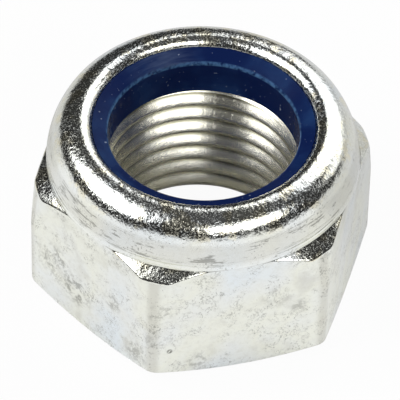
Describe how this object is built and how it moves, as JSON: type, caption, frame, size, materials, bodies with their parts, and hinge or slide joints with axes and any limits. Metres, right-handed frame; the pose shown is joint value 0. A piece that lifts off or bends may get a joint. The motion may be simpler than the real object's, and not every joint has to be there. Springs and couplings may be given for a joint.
{
  "type": "nylon insert lock nut",
  "caption": "Hexagon lock nut with a round collar whose rolled rim holds a nylon ring above the threaded bore, so that a screw stays tight under vibration.",
  "frame": {"origin": "centre of the bearing face, on the thread's axis", "axes": "+Z along the thread's axis from the bearing face towards the collar; +X through the middle of one wrench flat"},
  "size_m": [0.0244, 0.0274, 0.0154],
  "materials": {
    "zinc_plated_steel": "bright zinc plate",
    "blue_nylon": "semi-gloss moulded nylon"
  },
  "bodies": {
    "root": {"nut_body": "zinc_plated_steel", "nylon_insert": "blue_nylon"}
  },
  "joints": []
}
